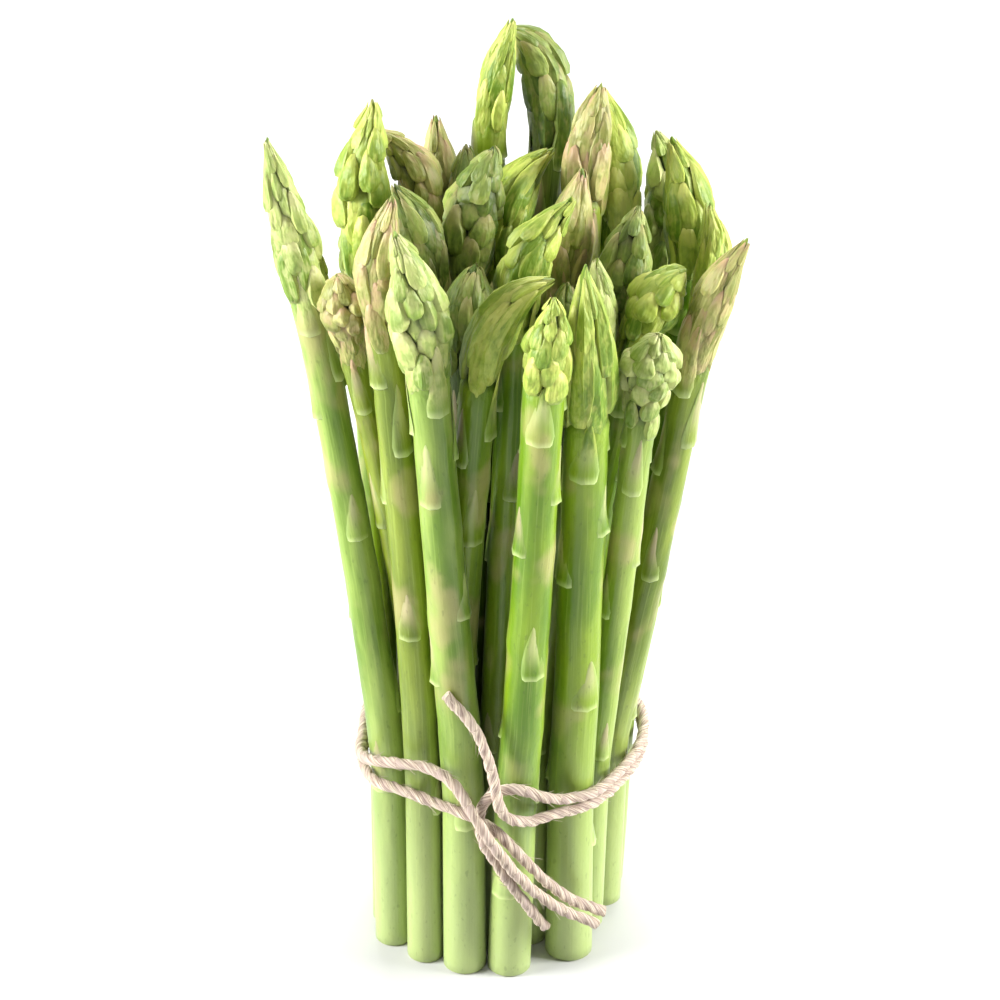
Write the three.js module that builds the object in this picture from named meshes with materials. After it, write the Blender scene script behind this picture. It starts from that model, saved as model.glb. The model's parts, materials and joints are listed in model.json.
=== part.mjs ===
// A bundle of green asparagus, tied low with two lengths of jute twine.
// Millimetres, +Z up, the front of the bundle toward -Y. The cut ends stand level on z = 0 and
// the axis of the bundle is the Z axis. Each spear is one solid, from its cut end to its tip.

import * as THREE from 'three';

// ---- driving dimensions ----------------------------------------------------------------
const TIE_LOW = 26;             // the band of height where the twine holds the stalks in
const TIE_HIGH = 70;
const UPRIGHT = 42;             // the stalks stand straight up to here, and fan out above
const TWINE = 3.2;              // thickness of one length of twine
const CLEAR = 0.35;             // air between neighbouring spears

const NECK = 0.84;              // a stalk's thickness under its head, against its cut end
const PLAIN_TO = 60;            // a stalk is plain and round up to here
const FIRST_LEAF = 84;          // height of the lowest stalk leaf that stands off the stalk
const LAST_LEAF_BELOW = 4;      // the highest one starts this far under the head
const LEAF_CROWDING = 1.25;     // over 1, the leaves lie closer together toward the head
const LEAF_RISE = 0.9;          // how far the foot of a stalk leaf stands off the stalk
const LEAF_LENGTH = 10;
const LEAF_STEP = 1;            // height of the step that starts it
const SIDES = 8;                // faces round a spear, and twice the scales in one row of a head
const SCALE_LIFT = 0.14;        // a scale's tip stands this share of the head's radius proud
const SCALE_TUCK = 0.08;        // and the next scale starts this share inside it
const SCALE_FLANK = 0.35;       // the share of that lift where two scales meet
const POINT = 0.7;              // radius of the small flat at the very tip

// How a head closes: where along it it is widest, how blunt its end is, and its rows of scales.
const TIGHT = { widest: 0.34, blunt: 1.6, rows: 8 };
const BLUNT = { widest: 0.45, blunt: 2.4, rows: 7 };
const KNOB = { widest: 0.5, blunt: 3.2, rows: 6 };

// The greens of the spears, and the twine.
const BRIGHT = 0x8caa3c;
const PALE = 0x9fb06c;
const DARK = 0x6f8440;
const BLUSH = 0x98995a;
const JUTE = 0xb9a48c;

// ---- the spears ------------------------------------------------------------------------
// [foot x, y], [neck x, y, z], [tip x, y, z], thickness at the cut end, widest part of the head
// against the neck, how the head closes, leaves modelled on the stalk, the lean (1 leans evenly
// from the tie up, more leans late), the bow (how far up the head the stalk's own direction
// carries before it bends to the tip) and the colour.
const SPEARS = [
  // the front row, left to right
  [[-32, -20], [-48.5, -14, 208], [-58.5, -14, 256], 10.8, 1.22, TIGHT, 4, 1.7, 0.5, PALE],
  [[-22, -25], [-33.5, -26, 214], [-29, -26, 247], 10.8, 1.22, TIGHT, 4, 1.6, 0.5, BLUSH],
  [[-11, -31], [-19, -36, 202], [-27, -40, 243], 12.6, 1.34, TIGHT, 4, 1.2, 0.5, PALE],
  [[2, -33], [11.5, -44, 192], [15, -46, 227], 12.6, 1.04, BLUNT, 4, 0.7, 0.5, BRIGHT],
  [[21, -24], [23.5, -36, 195], [21.8, -36, 232], 13.8, 1.0, TIGHT, 4, 1.6, 0.5, BRIGHT],
  [[26, -11], [38.5, -30, 187], [43, -32, 209], 9.6, 1.8, KNOB, 4, 1.0, 0.5, PALE],
  [[33, 2], [53, -14, 196], [65, -12, 227], 10.8, 1.18, TIGHT, 4, 0.9, 0.5, BLUSH],
  // the right side, front to back
  [[36, 13], [58, 14, 200], [57, 17, 224], 9, 1.22, TIGHT, 3, 0.9, 0.5, BRIGHT],
  [[30, 23], [50, 24, 202], [45, 32, 236], 12, 1.32, TIGHT, 3, 1.2, 0.5, BRIGHT],
  [[18, 19], [42, 39, 202], [38.5, 48, 230], 11.4, 1.5, TIGHT, 3, 1.2, 0.5, PALE],
  // behind the front row
  [[11, -19], [27, -18, 200], [26, -18, 224], 9, 1.15, TIGHT, 2, 1.3, 0.5, PALE],
  [[-1, -21], [4, -11, 206], [19, -5, 235], 11.4, 1.36, TIGHT, 3, 1.3, 0.5, BRIGHT],
  [[-13, -18], [-5, -28, 187], [15, -31, 224], 11.4, 1.1, BLUNT, 3, 1.3, 0.85, BRIGHT],
  [[-22, -13], [-40, -20, 200], [-42, -21, 221], 7.6, 2.0, KNOB, 3, 1.4, 0.5, BLUSH],
  [[-34, -8], [-50, 7, 194], [-49, 8, 212], 8.8, 1.22, TIGHT, 2, 1.4, 0.5, BRIGHT],
  [[-34, 5], [-38, 20, 206], [-34, 26, 250], 12, 1.45, TIGHT, 3, 1.3, 0.5, BRIGHT],
  [[-23, -2], [-16, 2, 208], [-25, 4, 236], 12, 1.25, TIGHT, 2, 1.3, 0.5, DARK],
  [[-9, -9], [-8, -14, 197], [-5, -12, 219], 11, 1.34, BLUNT, 2, 1.3, 0.5, DARK],
  [[14, -8], [39, -12, 200], [51.5, -10, 217], 11.6, 1.36, BLUNT, 3, 1.3, 0.5, BRIGHT],
  [[22, 7], [34, -2, 202], [39, 2, 229], 11.6, 1.34, TIGHT, 2, 1.3, 0.5, DARK],
  // the core
  [[0, 0], [-1, -1, 186], [-2, 2, 208], 10.4, 1.22, TIGHT, 2, 1.3, 0.5, DARK],
  [[10, 4], [18, 6, 207], [23, 8, 238], 11.4, 1.28, TIGHT, 2, 1.3, 0.5, BLUSH],
  [[-12, 2], [-9, 8, 206], [-1, 12, 242], 12.2, 1.42, BLUNT, 2, 1.3, 0.5, DARK],
  [[-18, 12], [-22, 14, 192], [-22, 15, 216], 11, 1.22, TIGHT, 2, 1.3, 0.5, BRIGHT],
  [[-29, 17], [-37, 32, 188], [-38, 36, 214], 11, 1.22, TIGHT, 2, 1.3, 0.5, DARK],
  [[-3, 12], [0, 18, 212], [14, 26, 234], 11.4, 1.22, TIGHT, 2, 1.3, 0.5, BRIGHT],
  [[10, 34], [19, 24, 218], [25.5, 30, 253], 12.2, 1.15, BLUNT, 2, 1.3, 0.5, BLUSH],
  [[22, 32], [37.5, 32, 206], [33.5, 42, 245], 12, 1.5, TIGHT, 2, 1.3, 0.5, BRIGHT],
  [[4, -10], [17, -9, 192], [18, -8, 212], 10.4, 1.22, TIGHT, 2, 1.3, 0.5, DARK],
  // the back
  [[-12, 21], [-13, 30, 213], [-12, 34, 233], 9.6, 1.22, TIGHT, 2, 1.3, 0.5, DARK],
  [[-23, 27], [-17, 29, 216], [-30, 34, 237], 11, 1.2, TIGHT, 2, 1.3, 0.5, BLUSH],
  [[-13, 33], [-16, 38, 212], [-17, 42, 237], 10.4, 1.2, TIGHT, 2, 1.3, 0.5, BLUSH],
  [[-1, 24], [-1.5, 44, 222], [6.5, 48, 264], 11.2, 0.95, BLUNT, 3, 1.3, 0.5, BRIGHT],
  [[9, 16], [18, 50, 222], [4, 54, 258], 11.8, 1.3, BLUNT, 3, 1.3, 0.8, DARK],
  [[-1, 36], [-3, 55, 184], [-4, 58, 206], 11.4, 1.22, TIGHT, 3, 1.3, 0.5, DARK],
];
const AT_ORIGIN = 20;           // the spear whose cut end stays centred on the origin

// ---- the twine -------------------------------------------------------------------------
// Two lengths lie together round the bundle and cross in a loose half knot at the front. Each
// starts at a free end, meets the knot, runs round by the right, the back and the left, comes
// over the knot again and ends in a free end that hangs down to the right.
const TWINE_A = [
  [-14.5, -41, 101], [-11, -41.5, 97], [-6.5, -42.5, 91], [-3.5, -43.8, 84], [-1.2, -45.2, 76],
  [-0.4, -47.3, 68.6], [2.8, -46.2, 62], [9, -41.9, 58.4], [16.5, -37.2, 58], [24.5, -32.8, 57.2],
  [29.6, -27.5, 56.3], [35.4, -15, 54], [40.8, -2, 51.8], [43.4, 10, 51.6], [41.8, 22, 53],
  [35.4, 32.4, 55], [25, 38.8, 56.5], [12, 41.2, 57.5], [-2, 41.6, 58.3], [-15, 39, 59.2],
  [-27, 31.5, 60.2], [-35, 20, 60.8], [-38.6, 7, 60.8], [-39.3, -7, 60.5], [-38.8, -19, 60.8],
  [-35, -27.3, 61.8], [-27, -31.9, 62.3], [-19, -35.7, 61.2], [-11.5, -39.2, 60.2],
  [-5.5, -41.8, 59.4], [-0.5, -43.4, 56.4], [5, -44.2, 50], [12, -42.2, 39.5], [19, -38.8, 30],
  [25, -36, 24.4], [30.5, -34, 21],
];
const TWINE_B = [
  [13.5, -40, 20], [10.5, -42.5, 26], [6, -45.3, 35], [1, -47, 45], [-3.2, -47, 52.5],
  [-5.8, -46, 59.5], [-5.1, -44.8, 65.2], [-1.4, -43.2, 70], [4.6, -42.8, 71], [10.4, -41.4, 67.6],
  [16.5, -37.3, 62.8], [24.5, -32.8, 60.8], [29.6, -27.5, 59.9], [35.4, -15, 57.6],
  [40.8, -2, 55.4], [43.4, 10, 55.2], [41.8, 22, 56.6], [35.4, 32.4, 58.6], [25, 38.8, 60.1],
  [12, 41.2, 61.1], [-2, 41.6, 61.9], [-15, 39, 62.8], [-27, 31.5, 63.8], [-35, 20, 64.4],
  [-38.6, 7, 64.4], [-39.3, -7, 64.2], [-40, -19, 66.5], [-36.6, -28.4, 70], [-28, -34, 73.4],
  [-18.5, -38.2, 74.6], [-12, -43.2, 72.4], [-8.2, -47.4, 67.5], [-4.2, -50, 61],
  [0, -50.2, 54], [3.6, -48.6, 47], [9.6, -45, 36.8], [16.6, -41.4, 28], [23, -38.6, 22.4],
  [28.5, -37, 18.6],
];
const RING_STARTS = 7;          // the points of TWINE_A that go round the stalks
const RING_ENDS = 29;
const TIE = TWINE_A.slice(RING_STARTS, RING_ENDS + 1);

// ---- centre lines ----------------------------------------------------------------------
const STALK_STEPS = 15;
const HEAD_STEPS = 8;
const { lerp, smoothstep } = THREE.MathUtils;

// A head swells from the neck to its widest place and closes to the tip.
const CLOSING = 0.8;
const THINNEST = 0.1;

function headRadius(h, neck, full, { widest, blunt }) {
  if (h < widest) return neck * lerp(1, full, smoothstep(h / widest, 0, 1));
  const over = (h - widest) / (1 - widest);
  return neck * full * Math.max(THINNEST, (1 - over ** blunt) ** CLOSING);
}

const stalkRadius = (thick, share) => (thick / 2) * lerp(1, NECK, share);

// One spear's centre line as points, with the half-width that it needs at each.
function centreLine([[fx, fy], neck, tip, thick, full, head, , lean, bow]) {
  const n = new THREE.Vector3(...neck);
  const t = new THREE.Vector3(...tip);
  const points = [];
  for (let i = 0; i < STALK_STEPS; i++) {
    const z = (n.z * i) / STALK_STEPS;
    const w = (Math.max(0, z - UPRIGHT) / (n.z - UPRIGHT)) ** lean;
    points.push(new THREE.Vector3(lerp(fx, n.x, w), lerp(fy, n.y, w), z));
  }
  const rising = new THREE.Vector3(lean * (n.x - fx), lean * (n.y - fy), n.z - UPRIGHT).normalize();
  const carried = n.clone().addScaledVector(rising, n.distanceTo(t) * bow);
  points.push(...new THREE.QuadraticBezierCurve3(n, carried, t).getPoints(HEAD_STEPS));
  const room = points.map((p, i) => {
    const stalk = stalkRadius(thick, Math.min(1, i / STALK_STEPS));
    const leaf = LEAF_RISE * smoothstep(p.z, TIE_HIGH, FIRST_LEAF + LEAF_LENGTH);
    const h = (i - STALK_STEPS) / HEAD_STEPS;
    return h <= 0 ? stalk + leaf : headRadius(h, stalk, full, head) * (1 + SCALE_LIFT);
  });
  return { points, room, start: points.map((p) => p.clone()) };
}

// The nearest places of two short straight pieces, as shares of their lengths.
const PARALLEL = 1e-6;

function nearest(p1, p2, q1, q2) {
  const d1 = p2.clone().sub(p1);
  const d2 = q2.clone().sub(q1);
  const r = p1.clone().sub(q1);
  const [a, e, b, c, f] = [d1.dot(d1), d2.dot(d2), d1.dot(d2), d1.dot(r), d2.dot(r)];
  const clamp = (v) => Math.min(1, Math.max(0, v));
  const skew = a * e - b * b;
  const s = skew > PARALLEL * a * e ? clamp((b * f - c * e) / skew) : 0.5;
  const t = (b * s + f) / e;
  if (t >= 0 && t <= 1) return [s, t];
  return [clamp((b * clamp(t) - c) / a), clamp(t)];
}

// The stalks press each other aside, as they do when the bundle is gathered: where two are
// too close, both move apart sideways, and each stalk shares its bending along its length.
const ROUNDS = 500;
const BENDING_ROUNDS = 425;     // the last rounds only press, so that no overlap is left
const IN_REACH = 40;            // pieces further apart than this are passed over
const SAME_HEIGHT = 22;

function pressTogether(lines) {
  for (let round = 0; round < ROUNDS; round++) {
    for (let i = 0; i < lines.length; i++) {
      for (let j = i + 1; j < lines.length; j++) pushApart(lines[i], lines[j]);
    }
    lines.forEach((line, index) => {
      hold(line, index === AT_ORIGIN);
      if (round < BENDING_ROUNDS) shareBending(line);
    });
  }
}

function pushApart(one, other) {
  for (let a = 0; a + 1 < one.points.length; a++) {
    for (let b = 0; b + 1 < other.points.length; b++) {
      const [p1, p2] = [one.points[a], one.points[a + 1]];
      const [q1, q2] = [other.points[b], other.points[b + 1]];
      if (Math.abs(p1.z + p2.z - q1.z - q2.z) / 2 > SAME_HEIGHT) continue;
      if (Math.abs(p1.x - q1.x) > IN_REACH || Math.abs(p1.y - q1.y) > IN_REACH) continue;
      const [s, t] = nearest(p1, p2, q1, q2);
      const apart = p1.clone().lerp(p2, s).sub(q1.clone().lerp(q2, t));
      const room = lerp(one.room[a], one.room[a + 1], s)
        + lerp(other.room[b], other.room[b + 1], t) + CLEAR;
      const short = room - apart.length();
      if (short <= 0) continue;
      apart.setZ(0).setLength(short / 2);
      p1.addScaledVector(apart, 1 - s);
      p2.addScaledVector(apart, s);
      q1.addScaledVector(apart, t - 1);
      q2.addScaledVector(apart, -t);
    }
  }
}

// The twine holds the stalks inside its ring, and one stalk stays on the origin.
function hold({ points, room }, onOrigin) {
  points.forEach((p, i) => {
    if (p.z < TIE_LOW || p.z > TIE_HIGH) return;
    TIE.forEach(([ax, ay], k) => {
      const [bx, by] = TIE[(k + 1) % TIE.length];
      const side = Math.hypot(bx - ax, by - ay);
      const [ox, oy] = [(by - ay) / side, (ax - bx) / side];
      const over = (p.x - ax) * ox + (p.y - ay) * oy + room[i] + TWINE / 2 + CLEAR;
      if (over > 0) {
        p.x -= ox * over;
        p.y -= oy * over;
      }
    });
  });
  if (onOrigin) points[0].set(0, 0, 0);
}

const STIFFNESS = 0.3;

function shareBending({ points, start }) {
  const moved = points.map((p, i) => p.clone().sub(start[i]));
  points.forEach((p, i) => {
    const before = moved[Math.max(0, i - 1)];
    const after = moved[Math.min(points.length - 1, i + 1)];
    p.addScaledVector(before.clone().lerp(after, 0.5).sub(moved[i]), STIFFNESS);
  });
}

const lines = SPEARS.map(centreLine);
pressTogether(lines);

// ---- one spear -------------------------------------------------------------------------
// Rings of points are carried up the centre line without twisting, and skinned. A ring is
// { at: height up the spear in mm, radius(side) }, and the lowest one lies level.
const UP = new THREE.Vector3(0, 0, 1);

function skin(curve, length, rings) {
  const positions = [];
  const index = [];
  let normal = new THREE.Vector3(0, -1, 0);
  rings.forEach(({ at, radius }) => {
    const u = Math.min(1, at / length);
    const along = at === 0 ? UP : curve.getTangentAt(u);
    const centre = curve.getPointAt(u);
    normal = normal.clone().addScaledVector(along, -normal.dot(along)).normalize();
    const side = along.clone().cross(normal);
    for (let k = 0; k < SIDES; k++) {
      const turn = (k / SIDES) * 2 * Math.PI;
      const out = normal.clone().multiplyScalar(Math.cos(turn)).addScaledVector(side, Math.sin(turn));
      positions.push(...centre.clone().addScaledVector(out, radius(k)).toArray());
    }
  });
  for (let r = 0; r + 1 < rings.length; r++) {
    for (let k = 0; k < SIDES; k++) {
      const [a, b] = [r * SIDES + k, r * SIDES + ((k + 1) % SIDES)];
      index.push(a, b, b + SIDES, a, b + SIDES, a + SIDES);
    }
  }
  const top = (rings.length - 1) * SIDES;
  for (let k = 1; k + 1 < SIDES; k++) index.push(0, k + 1, k, top, top + k, top + k + 1);
  const geometry = new THREE.BufferGeometry();
  geometry.setAttribute('position', new THREE.Float32BufferAttribute(positions, 3));
  geometry.setIndex(index);
  return geometry;
}

// The rings of the stalk: a plain round at the cut end, then leaves. A leaf starts in a small
// step over one side and thins out upwards, three faces further round than the one below.
const LEAF_SHAPE = [1, 0.5, 0, 0, 0, 0, 0, 0.5];

function stalkRings(length, thick, leaves, spin) {
  const plain = (at) => ({ at, radius: () => stalkRadius(thick, at / length) });
  const rings = [plain(0), plain(PLAIN_TO)];
  for (let n = 0; n < leaves; n++) {
    const share = 1 - (1 - n / leaves) ** LEAF_CROWDING;
    const under = plain(lerp(FIRST_LEAF, length - LAST_LEAF_BELOW, share));
    const middle = (spin + 3 * n) % SIDES;
    const rise = (k) => LEAF_RISE * LEAF_SHAPE[(k - middle + SIDES) % SIDES];
    rings.push(under);
    rings.push({ at: under.at + LEAF_STEP, radius: (k) => under.radius() + rise(k) });
    rings.push(plain(under.at + LEAF_LENGTH));
  }
  return rings;
}

// The rings of the head: every side carries a column of scales, and its neighbours' scales
// start half a scale higher. A scale leans out as it rises, and its tip steps back in just
// under the start of the next one.
const FIRST_TIP = 0.55;         // in rows of scales above the neck
const TIP_STEP = 0.22;
const END_CAP = 0.2;

function headRings(from, to, neck, full, head) {
  const rings = [];
  for (let row = 0; row < head.rows; row++) {
    for (const after of [false, true]) {
      const h = (row + FIRST_TIP + (after ? TIP_STEP : 0)) / (head.rows + END_CAP);
      const atTip = after ? -SCALE_TUCK : SCALE_LIFT;
      const proud = (k) => ((k + row) % 2 === 0 ? atTip : SCALE_LIFT * SCALE_FLANK);
      const radius = (k) => headRadius(h, neck, full, head) * (1 + proud(k));
      rings.push({ at: lerp(from, to, h), radius });
    }
  }
  rings.push({ at: to, radius: () => POINT });
  return rings;
}

// One spear as a mesh that stands on its own cut end.
function spear(number) {
  const [, , , thick, full, head, leaves, , , color] = SPEARS[number];
  const foot = lines[number].points[0];
  const points = lines[number].points.map((p) => p.clone().sub(foot));
  const curve = new THREE.CatmullRomCurve3(points, false, 'centripetal');
  curve.arcLengthDivisions = 400;
  const length = curve.getLength();
  const headCurve = new THREE.CatmullRomCurve3(points.slice(STALK_STEPS), false, 'centripetal');
  const neckAt = length - headCurve.getLength();
  const rings = [
    ...stalkRings(neckAt, thick, leaves, number),
    ...headRings(neckAt, length, stalkRadius(thick, 1), full, head),
  ];
  const skinned = new THREE.MeshStandardMaterial({ color, roughness: 0.55, metalness: 0 });
  const mesh = new THREE.Mesh(skin(curve, length, rings), skinned);
  mesh.name = `spear_${String(number + 1).padStart(2, '0')}`;
  mesh.position.copy(foot);
  return mesh;
}

// ---- one length of twine ---------------------------------------------------------------
const TWINE_SIDES = 8;
const TWINE_STEP = 8;           // length of one straight piece of it

function twine(route, number) {
  const path = new THREE.CatmullRomCurve3(route.map((p) => new THREE.Vector3(...p)), false, 'centripetal');
  const round = new THREE.EllipseCurve(0, 0, TWINE / 2, TWINE / 2);
  const geometry = new THREE.ExtrudeGeometry(new THREE.Shape(round.getPoints(TWINE_SIDES)), {
    steps: Math.round(path.getLength() / TWINE_STEP), extrudePath: path, curveSegments: 1,
  });
  const jute = new THREE.MeshStandardMaterial({ color: JUTE, roughness: 0.9, metalness: 0 });
  const mesh = new THREE.Mesh(geometry, jute);
  mesh.name = `twine_${number + 1}`;
  return mesh;
}

// ---- the bundle ------------------------------------------------------------------------
const bundle = new THREE.Group();
SPEARS.forEach((row, number) => bundle.add(spear(number)));

const tie = new THREE.Group();
tie.add(...[TWINE_A, TWINE_B].map(twine));

const group = new THREE.Group();
group.add(bundle, tie);

export default group;
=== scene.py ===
# %% [markdown]
# # A bundle of asparagus, tied with twine
#
# An asparagus spear is a young shoot: a round stalk with small pointed leaves pressed to it, and
# a head where the same leaves crowd together as scales. Here 35 spears stand on their cut ends,
# held by two lengths of twine. The CAD model already says where each spear stands, how it leans
# and how thick it is. All of that could be typed in again, but then the two could drift apart.
# So this scene reads it from the CAD solids and builds only the fine surface: every scale as a
# leaf of its own, the skin, and the twisted twine.

# %% Load the CAD model
import json
import math
import random
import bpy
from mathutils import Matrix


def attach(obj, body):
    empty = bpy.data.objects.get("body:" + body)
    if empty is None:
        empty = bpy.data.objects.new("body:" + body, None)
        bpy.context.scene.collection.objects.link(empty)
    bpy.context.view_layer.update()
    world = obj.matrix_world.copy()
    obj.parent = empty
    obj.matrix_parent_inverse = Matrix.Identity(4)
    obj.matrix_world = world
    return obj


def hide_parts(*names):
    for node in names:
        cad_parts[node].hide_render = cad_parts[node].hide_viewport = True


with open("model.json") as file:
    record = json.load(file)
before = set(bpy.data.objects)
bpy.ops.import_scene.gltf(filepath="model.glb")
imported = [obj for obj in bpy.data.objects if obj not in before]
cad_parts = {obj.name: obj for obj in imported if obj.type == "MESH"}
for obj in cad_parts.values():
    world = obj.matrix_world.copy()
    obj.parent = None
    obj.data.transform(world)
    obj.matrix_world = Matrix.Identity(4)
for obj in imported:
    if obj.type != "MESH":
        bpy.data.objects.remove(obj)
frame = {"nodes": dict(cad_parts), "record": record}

from types import SimpleNamespace

import bpy
import numpy as np
from mathutils import Matrix, Vector

bpy.ops.object.select_all(action="DESELECT")
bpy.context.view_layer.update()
MM = 0.001

# %% [markdown]
# ## Camera
#
# The bundle is seen from in front and above, from a metre away through a long lens, so the
# stalks hardly taper towards the back. An empty target could steer the camera, but a direction
# turned into a rotation is shorter and leaves nothing behind.

# %% Camera
ELEVATION = math.radians(31)
DISTANCE = 1.0
TARGET = Vector((0.0005, 0.002, 0.138))     # close to the middle of the bundle
SENSOR_WIDTH = 36             # in millimetres, as the lens is
FOCAL_LENGTH = 128.2

camera_data = bpy.data.cameras.new("camera")
camera_data.sensor_width = SENSOR_WIDTH
camera_data.lens = FOCAL_LENGTH
camera = bpy.data.objects.new("camera", camera_data)
bpy.context.collection.objects.link(camera)
toward_camera = Vector((0, -math.cos(ELEVATION), math.sin(ELEVATION)))
camera.location = TARGET + DISTANCE * toward_camera
camera.rotation_euler = (-toward_camera).to_track_quat("-Z", "Y").to_euler()
bpy.context.scene.camera = camera
print("camera at", [round(c, 3) for c in camera.location])

# %% [markdown]
# ## Reading the spears from the CAD solids
#
# A CAD spear is a faceted solid that leans, bows and sometimes nods over at the top. Its middle
# could be guessed from its outline, but walking up inside it and cutting it across every few
# millimetres gives both the centre line and the thickness. Each cut is the plane at right angles
# to the way walked so far, because a level cut would slice a nodding head lengthwise. The area
# of the cut gives the half-width, and the middle of that area is the next point of the line.

# %% Cutting a solid across
REACH = 14 * MM               # a plane may cut a nodding spear twice, and only the near cut counts
ROUND_OVER_FACETS = 1.054     # half-width of a round stalk, over that of its eight-sided cut


def cut_across(corners, faces, at, along):
    """The middle and the half-width of the plane cut through a solid, or None beyond its end."""
    side = (corners - at) @ along
    ends = []
    for face in faces[(side[faces].min(1) < 0) & (side[faces].max(1) >= 0)]:
        pair = []
        for a, b in zip(face, np.roll(face, -1)):
            if (side[a] < 0) != (side[b] < 0):
                share = side[a] / (side[a] - side[b])
                pair.append(corners[a] + share * (corners[b] - corners[a]))
        ends.append(pair)
    ends = [pair for pair in ends if np.linalg.norm(pair[0] - at) < REACH]
    if not ends:
        return None
    p, q = np.swapaxes(np.array(ends), 0, 1) - at
    areas = np.linalg.norm(np.cross(p, q), axis=1) / 2
    middle = at + ((p + q) / 3 * areas[:, None]).sum(0) / areas.sum()
    return middle, math.sqrt(areas.sum() / math.pi) * ROUND_OVER_FACETS


# %% [markdown]
# ## From the foot to the tip
#
# The walk starts at the middle of the cut end and goes straight up. After each step its direction
# turns halfway towards the step just taken, so it follows a bow without swinging about. It ends
# where a cut finds nothing more, and the corner that lies furthest on is the tip. The solid's
# corners could also be read in their own order, but nothing promises that order.

# %% Walking up a spear
STEP = 3 * MM                 # from one cut to the next
FIRST_CUT = 0.5 * MM          # height of the cut that measures the foot
TIP_WIDTH = 1.0 * MM          # half-width at the very tip, where there is nothing left to cut
TINY = 0.1 * MM               # points closer than this to a level lie on it


def walk_up(node):
    """The centre line of a CAD spear from its foot to its tip, and its half-width all along."""
    mesh = frame["nodes"][node].data
    corners = np.array([vertex.co for vertex in mesh.vertices])
    faces = np.array([list(face.vertices) for face in mesh.polygons])
    place = corners[corners[:, 2] < TINY].mean(0)
    along = np.array([0.0, 0.0, 1.0])
    line, widths = [place], [cut_across(corners, faces, place + FIRST_CUT * along, along)[1]]
    while cut := cut_across(corners, faces, line[-1] + STEP * along, along):
        middle, width = cut
        step = middle - line[-1]
        along = along + step / np.linalg.norm(step)
        along /= np.linalg.norm(along)
        line.append(middle)
        widths.append(width)
    near = corners[np.linalg.norm(corners - line[-1], axis=1) < 2 * STEP]
    line.append(near[(near @ along).argmax()])
    widths.append(TIP_WIDTH)
    line[1] = line[0] + (0, 0, STEP)        # the foot starts upright, so its cut end stays level
    return np.array(line), np.array(widths)


# %% [markdown]
# ## Where the head starts
#
# The head of a spear is a little thicker than the stalk, with a neck under it. Nothing in the
# solid names the neck, but the widths show it: the head is widest somewhere near the top, and
# the neck is the narrowest place just below that. The widths are evened out first, because the
# rows of scales make small dips in them.

# %% Centre lines, widths and necks
TOP_CUTS = 12                 # a head is widest somewhere in this many topmost cuts
HEAD_CUTS = 6                 # and its neck is the narrowest of this many cuts under that


def smoothed(values, rounds):
    """The same numbers with the dips between rows of scales evened out."""
    for _ in range(rounds):
        values[1:-1] = (values[:-2] + 2 * values[1:-1] + values[2:]) / 4
    return values


spear_nodes = sorted(name for name in frame["nodes"] if name.startswith("spear_"))
spears = {}
for node in spear_nodes:
    line, widths = walk_up(node)
    rise = np.concatenate([[0], np.linalg.norm(np.diff(line, axis=0), axis=1).cumsum()])
    widths = smoothed(widths, rounds=2)
    widest = len(widths) - TOP_CUTS + widths[-TOP_CUTS:].argmax()
    neck = widest - HEAD_CUTS + widths[widest - HEAD_CUTS:widest + 1].argmin()
    spears[node] = {"line": line, "widths": widths, "length": rise[-1], "neck": rise[neck]}
    print(node, "is", round(rise[-1] / MM), "mm long, its head starts at", round(rise[neck] / MM))

# %% [markdown]
# ## Small helpers for modelling
#
# An operator acts on whatever is selected, so every step first says what that is: one object in
# object mode, or the vertices that pass a test in edit mode. By hand this is a click or a box
# select; in a script a test on the place is safer, because it still holds when a size changes.

# %% Selecting
def only(obj):
    """Select obj and nothing else, and make it the active one."""
    bpy.ops.object.select_all(action="DESELECT")
    obj.select_set(True)
    bpy.context.view_layer.objects.active = obj
    return obj


def choose(obj, wanted):
    """In edit mode, select the vertices whose place passes the test."""
    bpy.ops.mesh.select_all(action="DESELECT")
    bpy.ops.object.mode_set(mode="OBJECT")
    for vertex in obj.data.vertices:
        vertex.select = bool(wanted(vertex.co))
    bpy.ops.object.mode_set(mode="EDIT")


def cut_into_rings(obj, cuts):
    """In edit mode, cut everything that runs up an upright shape across, that many times."""
    bpy.ops.mesh.select_mode(type="EDGE")
    bpy.ops.mesh.select_all(action="DESELECT")
    bpy.ops.object.mode_set(mode="OBJECT")
    for edge in obj.data.edges:
        low, high = [obj.data.vertices[v].co.z for v in edge.vertices]
        edge.select = abs(high - low) > TINY
    bpy.ops.object.mode_set(mode="EDIT")
    bpy.ops.mesh.subdivide(number_cuts=cuts)
    bpy.ops.mesh.select_mode(type="VERT")


def finish_modifier(obj, modifier):
    """Apply one modifier."""
    only(obj)
    bpy.ops.object.modifier_apply(modifier=modifier.name)


# %% [markdown]
# ## Notes on the mesh
#
# A material can be laid out by an unwrapped image map, but unwrapping thousands of scales is
# slow and leaves seams. A note is simpler: a number kept at each vertex, such as how far up a
# leaf it lies, which a material reads later by its name. The straight place is a note of the
# same kind. It is written before a thing is bent or twisted, so a pattern that is laid out by it
# follows the thing wherever it bends.

# %% Writing notes
def places(obj):
    """The places of a mesh's vertices, as rows of x, y and z."""
    found = np.empty(3 * len(obj.data.vertices))
    obj.data.vertices.foreach_get("co", found)
    return found.reshape(-1, 3)


def note(obj, name, values):
    """Write one number at each vertex, under a name."""
    layer = obj.data.attributes.get(name) or obj.data.attributes.new(name, "FLOAT", "POINT")
    layer.data.foreach_set("value", np.broadcast_to(values, len(obj.data.vertices)).astype(float))


def note_straight_place(obj):
    """Write down where each vertex is now."""
    layer = obj.data.attributes.new("straight_place", "FLOAT_VECTOR", "POINT")
    layer.data.foreach_set("vector", places(obj).ravel())


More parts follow.
